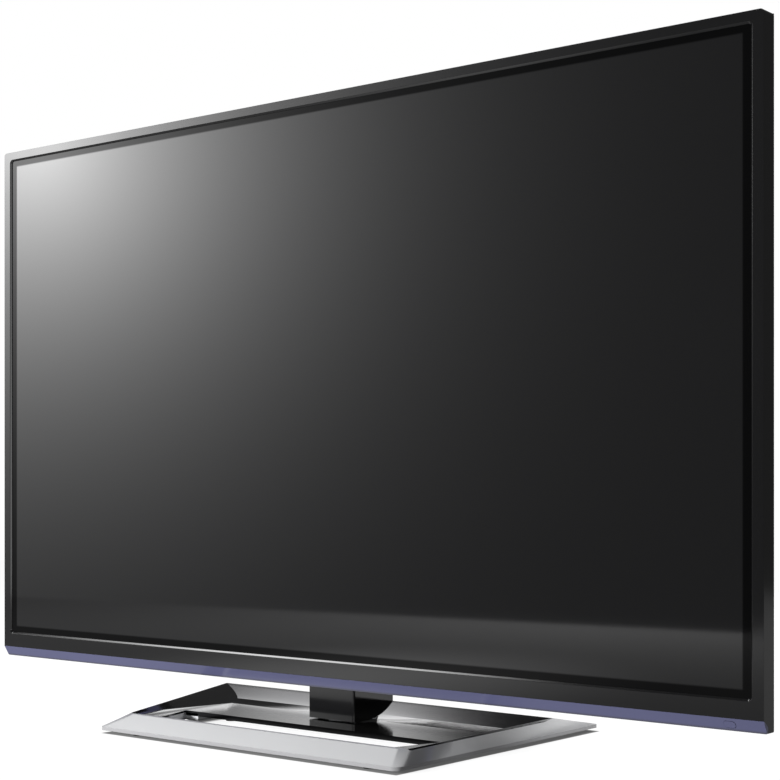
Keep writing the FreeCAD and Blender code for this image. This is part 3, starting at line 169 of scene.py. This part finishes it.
in_gloss = tree.nodes.new("ShaderNodeLightPath").outputs["Is Glossy Ray"]
light = tree.nodes.new("ShaderNodeBackground")
light.inputs["Color"].default_value = (1, 1, 1, 1)
feed(tree, light.inputs["Strength"], shown_white(tree, blend(tree, in_gloss, room_on_matt, mirrored), 1.0))
tree.links.new(light.outputs[0], tree.nodes.new("ShaderNodeOutputWorld").inputs["Surface"])

# Floor. A white table top that glows where its shine is to show in the set, with a dark
# ring under the rim of the base, and an edge in front that ends its image in the glass.
bpy.ops.object.select_all(action="DESELECT")
bpy.ops.mesh.primitive_plane_add(size=1, location=(0, 0.6, -0.0004))
floor = bpy.context.object
floor.name = "studio_floor"
floor.scale = (9, 4.8, 1)
bpy.ops.object.transform_apply(location=True, scale=True)
front_edge, edge_slope = -1.895, -0.139
for corner in floor.data.vertices:
    if corner.co.y < 0:
        corner.co.y = front_edge + edge_slope * corner.co.x
# Each pool of light on the floor: its middle, its strength and its reach.
pools = (((-0.45, -0.65, 0), 0.9, 0.62), ((0.38, 0.22, 0), 1.0, 0.30), ((-0.7, -1.75, 0), 0.20, 1.4))
floor_between_pools, floor_white, floor_in_shadow = 0.12, 0.92, 0.10
# The ring of shadow lies between two rectangles: half width, front, back and softness of the edge.
shadow_edges = ((0.2745, -0.2265, 0.2265, 0.0025), (0.2350, -0.1800, 0.1950, 0.0100))
paint = bpy.data.materials.new("studio_white")
paint.use_nodes = True
tree = paint.node_tree
tree.nodes.clear()
levels = []
for middle, strength, reach in pools:
    away = tree.nodes.new("ShaderNodeVectorMath")
    away.operation = "DISTANCE"
    away.inputs[1].default_value = middle
    tree.links.new(tree.nodes.new("ShaderNodeTexCoord").outputs["Object"], away.inputs[0])
    levels.append(maths(tree, "MULTIPLY", strength, edge_of(tree, away.outputs["Value"], reach, 0.0)))
glowing = maths(tree, "ADD", *levels, floor_between_pools)
place = axes_of(tree)
sideways = maths(tree, "ABSOLUTE", place["X"])
covers = []
for half, front, back, soft in shadow_edges:
    covers.append(maths(tree, "MULTIPLY", edge_of(tree, sideways, half + soft, half - soft),
                        edge_of(tree, place["Y"], front - soft, front + soft),
                        edge_of(tree, place["Y"], back + soft, back - soft)))
shadow = blend(tree, maths(tree, "SUBTRACT", *covers), 1.0, floor_in_shadow)
lit = tree.nodes.new("ShaderNodeEmission")
feed(tree, lit.inputs["Strength"], maths(tree, "MULTIPLY", shown_white(tree, glowing, floor_white), shadow))
matt = tree.nodes.new("ShaderNodeBsdfDiffuse")
matt.inputs["Color"].default_value = (0.2, 0.2, 0.2, 1)
both = tree.nodes.new("ShaderNodeAddShader")
tree.links.new(lit.outputs[0], both.inputs[0])
tree.links.new(matt.outputs[0], both.inputs[1])
tree.links.new(both.outputs[0], tree.nodes.new("ShaderNodeOutputMaterial").inputs["Surface"])
floor.data.materials.append(paint)

# Lamps. A low soft box in front on the left, which lights the front of the base and leaves
# its flanks dark, and a large one behind. The gloss shows the room instead of them.


def lamp(name, at, towards, wide, high, watts):
    """A soft box that lights matt surfaces only."""
    data = bpy.data.lights.new(name, "AREA")
    data.shape = "RECTANGLE"
    data.size, data.size_y, data.energy = wide, high, watts
    item = bpy.data.objects.new(name, data)
    bpy.context.scene.collection.objects.link(item)
    item.location = at
    item.rotation_euler = (Vector(towards) - Vector(at)).to_track_quat("-Z", "Y").to_euler()
    item.visible_glossy = False


lamp("front_box", (-0.75, -3.0, 0.75), (0, -0.1, 0.05), 0.9, 0.4, 158)
lamp("back_box", (0.9, 2.6, 2.2), (0, 0, 0.4), 2.0, 1.6, 90)

# Cabinet frame. One glossy black injection moulding: the bezel round the screen, with a
# slant on its inner edge, a thin skirt behind it that the rear cover closes, and a step
# across its foot that the violet strip fills.


def start_on(piece):
    """Makes a piece the only one selected, and the active one."""
    bpy.ops.object.select_all(action="DESELECT")
    bpy.context.view_layer.objects.active = piece
    piece.select_set(True)


def block(name, low, high):
    """A cube stretched between two corners, with its place in its mesh."""
    bpy.ops.object.select_all(action="DESELECT")
    bpy.ops.mesh.primitive_cube_add(size=1, location=[(a + b) / 2 for a, b in zip(low, high)])
    piece = bpy.context.object
    piece.name = name
    piece.scale = [b - a for a, b in zip(low, high)]
    bpy.ops.object.transform_apply(location=True, rotation=True, scale=True)
    return piece


def pick(piece, test):
    """Enters edit mode on a piece with only the edges that pass a test selected."""
    start_on(piece)
    bpy.ops.object.mode_set(mode="EDIT")
    bpy.ops.mesh.select_mode(type="EDGE")
    bpy.ops.mesh.select_all(action="DESELECT")
    bpy.ops.object.mode_set(mode="OBJECT")
    for edge in piece.data.edges:
        ends = [piece.data.vertices[i].co for i in edge.vertices]
        edge.select = test(ends[0], ends[1])
    bpy.ops.object.mode_set(mode="EDIT")


def round_off(piece, test, radius, steps=6):
    """Rounds the edges of a piece that pass a test, or cuts them flat in one step."""
    pick(piece, test)
    bpy.ops.mesh.bevel(offset=radius, segments=steps, affect="EDGES")
    bpy.ops.object.mode_set(mode="OBJECT")


def carve(piece, cutter, how="DIFFERENCE"):
    """Cuts, joins or keeps what two pieces share, and takes the second one away."""
    cut = piece.modifiers.new("carve", "BOOLEAN")
    cut.operation = how
    cut.solver = "EXACT"
    cut.object = cutter
    start_on(piece)
    bpy.ops.object.modifier_apply(modifier=cut.name)
    bpy.data.objects.remove(cutter)


def slice_off(piece, point, away):
    """Cuts off what lies beyond a plane and closes the cut."""
    start_on(piece)
    bpy.ops.object.mode_set(mode="EDIT")
    bpy.ops.mesh.select_all(action="SELECT")
    bpy.ops.mesh.bisect(plane_co=point, plane_no=Vector(away).normalized(), use_fill=True, clear_outer=True)
    bpy.ops.object.mode_set(mode="OBJECT")


def soften(piece, radius, steps=2, angle=32):
    """Breaks every sharp edge as a mould or a press does, and shades the curves smooth."""
    start_on(piece)
    bpy.ops.object.mode_set(mode="EDIT")
    bpy.ops.mesh.select_all(action="SELECT")
    bpy.ops.mesh.remove_doubles(threshold=0.000002)
    bpy.ops.mesh.dissolve_limited(angle_limit=math.radians(0.3))
    bpy.ops.object.mode_set(mode="OBJECT")
    if radius:
        edge = piece.modifiers.new("edges", "BEVEL")
        edge.limit_method = "ANGLE"
        edge.angle_limit = math.radians(angle)
        edge.width = radius
        edge.segments = steps
        bpy.ops.object.modifier_apply(modifier=edge.name)
    bpy.ops.object.shade_smooth_by_angle(angle=math.radians(angle))
    flats = piece.modifiers.new("flats", "WEIGHTED_NORMAL")
    flats.mode = "FACE_AREA"
    flats.weight = 90
    flats.keep_sharp = True
    bpy.ops.object.modifier_apply(modifier=flats.name)


def along_y(a, b):
    """Whether an edge runs from front to back."""
    return abs(a.x - b.x) < 1e-5 and abs(a.z - b.z) < 1e-5


def along_z(a, b):
    """Whether an edge stands upright."""
    return abs(a.x - b.x) < 1e-5 and abs(a.y - b.y) < 1e-5


low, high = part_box("front_cabinet")
side_wall, front_wall = 0.0025, 0.003
side_bezel, foot_bezel, top_bezel = 0.017, 0.0395, 0.0145
top_corner, foot_corner, opening_corner, inner_slant = 0.005, 0.002, 0.004, 0.0024
step_depth, step_top, step_behind = 0.0106, 0.086, 0.002
slope_behind = (0, 0.0076, 0.0086)
cabinet = block("cabinet_frame", low, high)
round_off(cabinet, lambda a, b: along_y(a, b) and a.z > 0.5, top_corner)
round_off(cabinet, lambda a, b: along_y(a, b) and a.z < 0.1, foot_corner, 3)
carve(cabinet, block("cavity", (low.x + side_wall, low.y + front_wall, low.z + side_wall),
                     (high.x - side_wall, high.y + 0.01, high.z - side_wall)))
opening = block("opening", (low.x + side_bezel, -0.1, low.z + foot_bezel),
                (high.x - side_bezel, -0.06, high.z - top_bezel))
round_off(opening, along_y, opening_corner, 5)
carve(cabinet, opening)
step = block("step", (-1, -0.1, 0), (1, low.y + step_depth, step_top))
slice_off(step, (0, low.y + step_behind, step_top), slope_behind)
carve(cabinet, step)
round_off(cabinet, lambda a, b: max(a.y, b.y) < low.y + 1e-5 and max(abs(a.x), abs(b.x)) < high.x - 0.012
          and 0.1 < min(a.z, b.z) and max(a.z, b.z) < high.z - 0.01, inner_slant, 1)
soften(cabinet, 0.0005)


def relief_group():
    """Fine relief of a surface: grain as a normal, and roughness that varies about a level."""
    tree = bpy.data.node_groups.new("surface_relief", "ShaderNodeTree")
    for name in ("Grain per metre", "Grain height", "Level", "Spread", "Patches per metre"):
        tree.interface.new_socket(name, in_out="INPUT", socket_type="NodeSocketFloat")
    tree.interface.new_socket("Stretch", in_out="INPUT", socket_type="NodeSocketVector")
    tree.interface.new_socket("Roughness", in_out="OUTPUT", socket_type="NodeSocketFloat")
    tree.interface.new_socket("Normal", in_out="OUTPUT", socket_type="NodeSocketVector")
    given, result = tree.nodes.new("NodeGroupInput").outputs, tree.nodes.new("NodeGroupOutput").inputs
    place = tree.nodes.new("ShaderNodeTexCoord").outputs["Object"]
    drawn = tree.nodes.new("ShaderNodeVectorMath")
    drawn.operation = "MULTIPLY"
    grain = tree.nodes.new("ShaderNodeTexNoise")
    grain.inputs["Detail"].default_value = 3
    patches = tree.nodes.new("ShaderNodeTexNoise")
    patches.inputs["Detail"].default_value = 4
    bump = tree.nodes.new("ShaderNodeBump")
    bump.inputs["Strength"].default_value = 1.0
    vary = tree.nodes.new("ShaderNodeMapRange")
    vary.inputs["From Min"].default_value = 0.3
    vary.inputs["From Max"].default_value = 0.7
    for source, socket in (
            (place, drawn.inputs[0]), (given["Stretch"], drawn.inputs[1]),
            (drawn.outputs[0], grain.inputs["Vector"]), (given["Grain per metre"], grain.inputs["Scale"]),
            (grain.outputs["Fac"], bump.inputs["Height"]), (given["Grain height"], bump.inputs["Distance"]),
            (place, patches.inputs["Vector"]), (given["Patches per metre"], patches.inputs["Scale"]),
            (patches.outputs["Fac"], vary.inputs["Value"]),
            (maths(tree, "SUBTRACT", given["Level"], given["Spread"]), vary.inputs["To Min"]),
            (maths(tree, "ADD", given["Level"], given["Spread"]), vary.inputs["To Max"]),
            (vary.outputs["Result"], result["Roughness"]), (bump.outputs["Normal"], result["Normal"])):
        tree.links.new(source, socket)
    return tree


surface_relief = relief_group()


def finish(name, colour, relief, metallic=0.0, tint=0.06, coat=0.0, ior=1.5, stretch=(1, 1, 1)):
    """A material whose colour drifts a little over the piece. Its relief gives the grain per metre and
    the grain's height, the level and spread of its roughness, and the patches per metre."""
    material = bpy.data.materials.new(name)
    material.use_nodes = True
    tree = material.node_tree
    shader = tree.nodes["Principled BSDF"]
    shader.inputs["Metallic"].default_value = metallic
    shader.inputs["Coat Weight"].default_value = coat
    shader.inputs["IOR"].default_value = ior
    group = tree.nodes.new("ShaderNodeGroup")
    group.node_tree = surface_relief
    for socket, value in zip(group.inputs, (*relief, stretch)):
        socket.default_value = value
    drift = tree.nodes.new("ShaderNodeTexNoise")
    drift.inputs["Scale"].default_value = relief[4] * 0.6
    tree.links.new(tree.nodes.new("ShaderNodeTexCoord").outputs["Object"], drift.inputs["Vector"])
    darker = [c * (1 - tint) for c in colour] + [1]
    lighter = [min(c * (1 + tint), 1) for c in colour] + [1]
    tree.links.new(blend(tree, drift.outputs["Fac"], darker, lighter, "RGBA"), shader.inputs["Base Color"])
    tree.links.new(group.outputs["Roughness"], shader.inputs["Roughness"])
    tree.links.new(group.outputs["Normal"], shader.inputs["Normal"])
    return material


def dress(piece, material):
    """Gives a piece one material."""
    piece.data.materials.clear()
    piece.data.materials.append(material)


piano_black = finish("piano_black", (0.0045, 0.0045, 0.0048), (30, 0.000002, 0.1, 0.02, 6), ior=1.62)
dress(cabinet, piano_black)
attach(cabinet, "head")
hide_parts("front_cabinet")

# Strip. A bar of violet blue translucent acrylic glued into the step across the foot of the
# bezel. Its face leans back towards the floor, and an oval hole takes the power button.
low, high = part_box("lower_trim_strip")
lean = (0, -0.0155, -0.0086)
button_hole = ((0.64015, -0.1, 0.07385), (0.65645, -0.05, 0.08255))
strip = block("violet_strip", low, high)
round_off(strip, lambda a, b: along_y(a, b) and a.z < low.z + 0.001, foot_corner, 3)
slice_off(strip, (0, low.y, high.z), lean)
slice_off(strip, (0, low.y + step_behind, high.z), slope_behind)
hole = block("hole", *button_hole)
round_off(hole, along_y, 0.00434, 8)
carve(strip, hole)
soften(strip, 0.0005, 3)


def tint_where(material, mask, other):
    """Keeps a material's colour where a mask is full, and gives it another one elsewhere."""
    tree = material.node_tree
    socket = tree.nodes["Principled BSDF"].inputs["Base Color"]
    tree.links.new(blend(tree, mask, other, socket.links[0].from_socket, "RGBA"), socket)


violet = finish("violet_acrylic", (0.086, 0.089, 0.168), (30, 0.000004, 0.22, 0.03, 5), coat=0.3)
tree = violet.node_tree
# Painted shade: the lowest few millimetres of the strip take a darker colour, standing in for the shade
# along its foot.
clear_of_foot_shade = edge_of(tree, axes_of(tree)["Z"], low.z + 0.0005, low.z + 0.0040)
tint_where(violet, clear_of_foot_shade, (0.066, 0.067, 0.095, 1))
dress(strip, violet)
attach(strip, "head")
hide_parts("lower_trim_strip")

# Screen. A tinted filter glass with a fine anti-glare coat, held behind the bezel. The unlit
# picture area is a shade lighter than the black border printed round it.
low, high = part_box("filter_glass")
picture_half_width, picture_half_height, picture_middle, print_edge = 0.6655, 0.3765, 0.4966, 0.0015
screen = block("screen_glass", low, high)
soften(screen, 0.0005)
glass = finish("filter_glass_face", (0.0055, 0.0055, 0.0058), (900, 0.0000001, 0.05, 0.01, 3), tint=0.04)
tree = glass.node_tree
place = axes_of(tree)
upwards = maths(tree, "SUBTRACT", place["Z"], picture_middle)
sides = []
for away, half in ((place["X"], picture_half_width), (upwards, picture_half_height)):
    sides.append(edge_of(tree, maths(tree, "ABSOLUTE", away), half + print_edge, half - print_edge))
picture = maths(tree, "MULTIPLY", *sides)
tint_where(glass, picture, (0.0015, 0.0015, 0.0016, 1))
shader = tree.nodes["Principled BSDF"]
tree.links.new(picture, shader.inputs["Coat Weight"])
shader.inputs["Coat Roughness"].default_value = 0.04
shader.inputs["Specular IOR Level"].default_value = 0.15
dress(screen, glass)
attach(screen, "head")
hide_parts("filter_glass")

# Base frame. A silver painted casting on rubber feet: a sloped bar in front, two flanks that
# twist outwards to the ridge, and a slope behind. It is hollow below and open for the tray.
low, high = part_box("base_frame")
depth, foot, rim = high.y, low.z, 0.0092
foot_half, foot_taper, front_corner, rear_corner = 0.278, 0.008, 0.012, 0.006
bar_half, bar_front, bar_back, bar_top = 0.258, -0.191, -0.185, 0.0247
ridge_half, ridge_y, ridge_top = high.x, 0.0555, high.z
tray_level, tray_arc, tray_thick = 0.0206, 0.0857, 0.003
wing_start, wing_slope = 0.243, 0.3045
window_half, window_half_behind, window_back = 0.211, 0.2405, -0.095


def pull(piece, test, move=(0, 0, 0), spread=1.0):
    """Moves the edges of a piece that pass a test, and spreads them evenly from the middle."""
    pick(piece, test)
    bpy.ops.transform.translate(value=move)
    bpy.ops.transform.resize(value=(spread, 1, 1), center_override=(0, 0, 0))
    bpy.ops.object.mode_set(mode="OBJECT")


def base_outer(name):
    """The whole of the base before it is opened: a low block that narrows behind, its top drawn
    in to the bar in front and out to the ridge behind, with its corners rounded."""
    piece = block(name, (-foot_half, -depth, foot), (foot_half, depth, rim))
    pick(piece, lambda a, b: min(a.z, b.z) > rim - 1e-5)
    bpy.ops.mesh.extrude_region_move()
    bpy.ops.object.mode_set(mode="OBJECT")
    top = [edge for edge in piece.data.edges if edge.select]
    ends = {edge.index: [piece.data.vertices[v].co.copy() for v in edge.vertices] for edge in top}
    bar = [i for i, (a, b) in ends.items() if max(a.y, b.y) < 0][0]
    ridge = [i for i, (a, b) in ends.items() if min(a.y, b.y) > 0][0]
    for index, half, y, z in ((bar, bar_half, bar_front, bar_top), (ridge, ridge_half, ridge_y, ridge_top)):
        pick(piece, lambda a, b: False)
        bpy.ops.object.mode_set(mode="OBJECT")
        piece.data.edges[index].select = True
        bpy.ops.object.mode_set(mode="EDIT")
        bpy.ops.transform.translate(value=(0, y - ends[index][0].y, z - ends[index][0].z))
        bpy.ops.transform.resize(value=(half / foot_half, 1, 1), center_override=(0, 0, 0))
        bpy.ops.object.mode_set(mode="OBJECT")
    pull(piece, lambda a, b: min(a.y, b.y) > depth - 1e-5 and max(a.z, b.z) < rim + 1e-5
         and abs(a.x - b.x) > 0.1, spread=(foot_half - foot_taper) / foot_half)
    pick(piece, lambda a, b: abs(a.y - b.y) > 0.2)
    bpy.ops.mesh.subdivide(number_cuts=15)
    bpy.ops.object.mode_set(mode="OBJECT")
    round_off(piece, lambda a, b: max(a.y, b.y) < -0.18 and abs(a.x - b.x) < 0.05
              and abs(a.z - b.z) > 0.0019, front_corner, 6)
    round_off(piece, lambda a, b: min(a.y, b.y) > 0.22 and along_z(a, b), rear_corner, 4)
    return piece


def tray_room(name, lift, ahead=0.0):
    """The open room over the tray: flat from the lip to the neck, then up an arc to the ridge."""
    level = tray_level + lift
    room = block(name, (-0.4, -0.4, level), (0.4, -ahead, 0.4))
    bpy.ops.object.select_all(action="DESELECT")
    across = (0, math.radians(90), 0)
    bpy.ops.mesh.primitive_cylinder_add(vertices=256, radius=tray_arc, depth=0.8, rotation=across,
                                        location=(0, -ahead, level + tray_arc))
    curve = bpy.context.object
    bpy.ops.object.transform_apply(location=True, rotation=True, scale=True)
    carve(room, curve, "UNION")
    rise = ridge_top - tray_level
    carve(room, block("over", (-0.4, -0.01, level + rise), (0.4, ridge_y - ahead, 0.4)), "UNION")
    return room


def wing_room(drop):
    """The room between the two wings, which rise outwards from the tray's edges."""
    level = tray_level - drop
    room = block("wings", (-wing_start, -0.4, level), (wing_start, 0.4, 0.4))
    pull(room, lambda a, b: min(a.z, b.z) > 0.39, spread=1 + (0.4 - level) / wing_slope / wing_start)
    return room


def tray_seat(name):
    """The room that the tray fills, one thickness below the room over it."""
    room = tray_room(name, -tray_thick)
    carve(room, block("bar", (-0.4, -0.5, -0.1), (0.4, bar_back, 0.5)))
    carve(room, wing_room(tray_thick), "INTERSECT")
    return room


def window():
    """The gap between the front bar and the tray's lip, wider at the back."""
    piece = block("gap", (-window_half, bar_back, -0.1), (window_half, window_back, 0.2))
    pull(piece, lambda a, b: min(a.y, b.y) > window_back - 0.005, spread=window_half_behind / window_half)
    return piece


plate_room = ((-0.262, bar_back, -0.01), (0.262, 0.222, 0.0072))
swivel_room = ((-0.215, bar_back + 0.0001, -0.01), (0.215, 0.075, 0.0190))
base_frame = base_outer("silver_frame")
carve(base_frame, block("under", *plate_room))
carve(base_frame, block("swivel_room", *swivel_room))
carve(base_frame, tray_seat("tray_seat"))
carve(base_frame, window())
soften(base_frame, 0, angle=24)
silver = finish("silver_paint", (0.72, 0.725, 0.74), (1500, 0.0000006, 0.22, 0.02, 12), metallic=0.2,
                tint=0.02)
tree = silver.node_tree
# Painted shade: below the top of its rim the silver takes a darker colour, standing in for the shade on the
# upright rim.
clear_of_rim_shade = edge_of(tree, axes_of(tree)["Z"], rim - 0.0004, rim + 0.0006)
tint_where(silver, clear_of_rim_shade, (0.36, 0.36, 0.37, 1))
dress(base_frame, silver)
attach(base_frame, "base")
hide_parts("base_frame")

# Tray. A black sheet with a fine hairline drawn along it, pressed in one piece, which drops
# from the ridge to the neck. It has a lip along the window, a wing each side and a round
# hole that the neck turns in.
lip_half, lip_depth, lip_foot, neck_hole = 0.2445, 0.004, 0.0136, 0.0395
tray = tray_seat("black_tray")
room = tray_room("room", 0.0)
carve(room, wing_room(0.0), "INTERSECT")
carve(tray, room)
carve(tray, base_outer("outline"), "INTERSECT")
carve(tray, window())
carve(tray, block("lip", (-lip_half, window_back, lip_foot),
                  (lip_half, window_back + lip_depth, tray_level - 0.0001)), "UNION")
bpy.ops.object.select_all(action="DESELECT")
bpy.ops.mesh.primitive_cylinder_add(vertices=96, radius=neck_hole, depth=0.1, location=(0, 0, 0.03))
hole = bpy.context.object
bpy.ops.object.transform_apply(location=True)
carve(tray, hole)
soften(tray, 0, angle=24)
tray_black = finish("tray_black", (0.11, 0.11, 0.113), (5200, 0.00001, 0.09, 0.02, 8), metallic=1.0,
                    stretch=(0.004, 1, 1))
dress(tray, tray_black)
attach(tray, "base")
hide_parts("base_tray")

# Neck sleeve. A square glossy black tube over the steel neck, between the tray and the
# cabinet, its foot cut to follow the tray so that it clears it as the set turns.
sleeve_half, sleeve_wall, sleeve_foot, sleeve_top = 0.043, 0.0025, 0.010, 0.070
gap_below, gap_ahead = 0.0018, 0.0147
inside = sleeve_half - sleeve_wall
sleeve = block("neck_sleeve_cover", (-sleeve_half, -sleeve_half, sleeve_foot),
               (sleeve_half, sleeve_half, sleeve_top))
round_off(sleeve, along_z, 0.003, 4)
carve(sleeve, block("inside", (-inside, -inside, -0.01), (inside, inside, 0.1)))
carve(sleeve, tray_room("clear", gap_below, gap_ahead), "INTERSECT")
soften(sleeve, 0.0003)
dress(sleeve, piano_black)
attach(sleeve, "head")
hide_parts("neck_sleeve")

# All other pieces: the rear cover with its sockets and keys, the screws, the swivel and the
# boards inside. Each keeps the shape of its node and takes the finish of its slot.
finishes = {
    "piano_black": piano_black,
    "violet_trim": violet,
    "panel_glass": finish("panel_glass_grey", (0.05, 0.055, 0.05), (200, 0.000001, 0.1, 0.02, 5)),
    "chassis_metal": finish("chassis_sheet", (0.72, 0.73, 0.74), (700, 0.000004, 0.38, 0.06, 10),
                            metallic=1.0),
    "plated_steel": finish("zinc_plate", (0.62, 0.63, 0.64), (900, 0.000003, 0.32, 0.07, 30),
                           metallic=1.0),
    "circuit_board": finish("solder_mask", (0.05, 0.18, 0.07), (2500, 0.00003, 0.4, 0.08, 60), tint=0.2),
    "cable_film": finish("amber_film", (0.45, 0.25, 0.06), (500, 0.00001, 0.3, 0.05, 40)),
    "satin_black": finish("satin_black", (0.02, 0.02, 0.022), (3000, 0.00001, 0.45, 0.04, 20)),
    "cover_black": finish("cover_paint", (0.022, 0.022, 0.024), (1800, 0.00004, 0.5, 0.05, 8)),
    "dark_screws": finish("black_oxide", (0.05, 0.05, 0.055), (2500, 0.000006, 0.4, 0.08, 60),
                          metallic=0.9),
    "white_plastic": finish("bearing_plastic", (0.85, 0.85, 0.82), (900, 0.000004, 0.4, 0.04, 20)),
    "black_rubber": finish("foot_rubber", (0.02, 0.02, 0.02), (2600, 0.00003, 0.75, 0.08, 30)),
}
slots = {entry["node"]: entry["material_slot"] for entry in frame["record"]["subparts"]}
for name, item in nodes.items():
    if slots[name] in finishes:
        dress(item, finishes[slots[name]])
